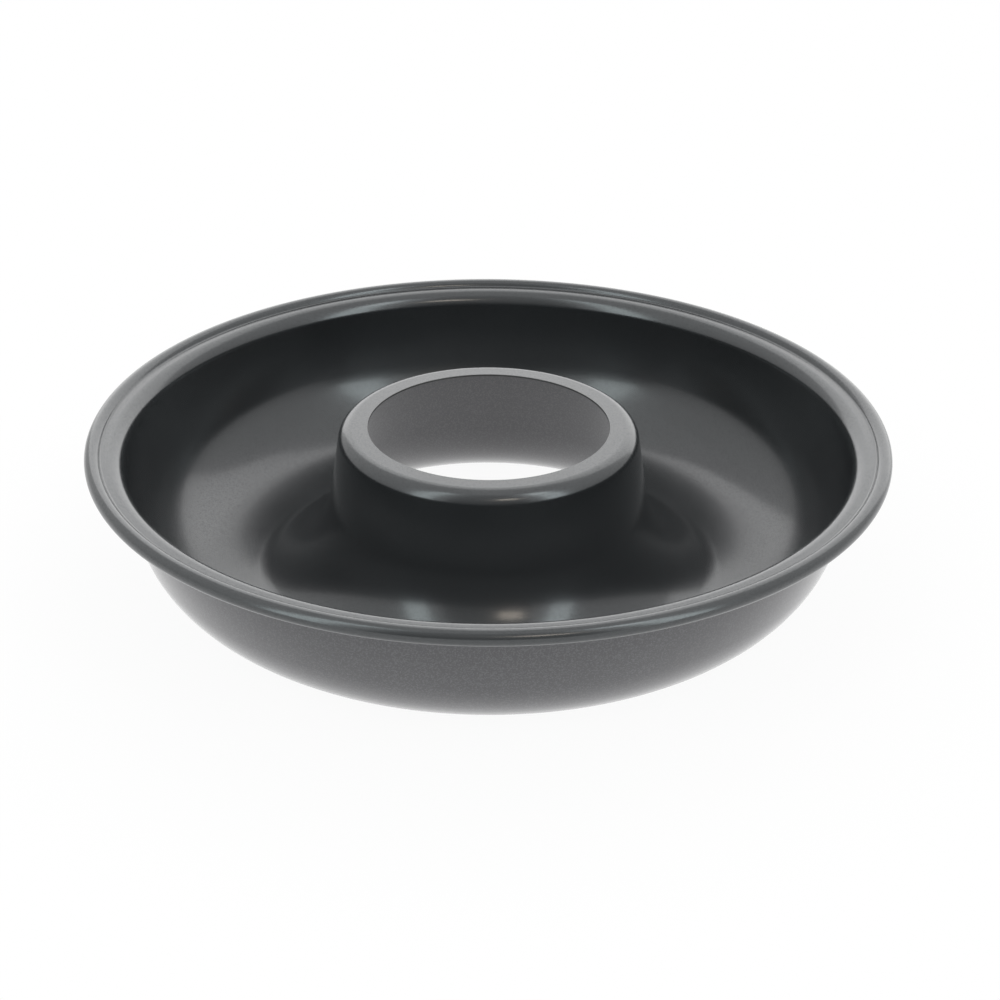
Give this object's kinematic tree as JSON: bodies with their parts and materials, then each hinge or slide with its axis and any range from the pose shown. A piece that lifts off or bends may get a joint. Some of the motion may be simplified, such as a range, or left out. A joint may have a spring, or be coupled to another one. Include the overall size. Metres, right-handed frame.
{
  "type": "savarin mould",
  "caption": "Ring-shaped baking mould of coated sheet steel: open tapering chimney, round-cornered trough, flared rim rolled over a wire, and a flat ring to stand on.",
  "frame": {"origin": "centre of the base ring's underside, on the axis of the mould", "axes": "+Z along the axis, up towards the open side of the trough; X and Y lie on the table, and the wire's butt joint is on +X"},
  "size_m": [0.24, 0.24, 0.047],
  "materials": {
    "nonstick_coated_steel": "charcoal non-stick coat on sheet steel: glossy with a fine metallic speckle inside, satin and slightly lighter outside",
    "steel_wire": "plain drawn steel wire, dull"
  },
  "bodies": {
    "root": {"pressed_shell": "nonstick_coated_steel", "rim_wire": "steel_wire"}
  },
  "joints": []
}
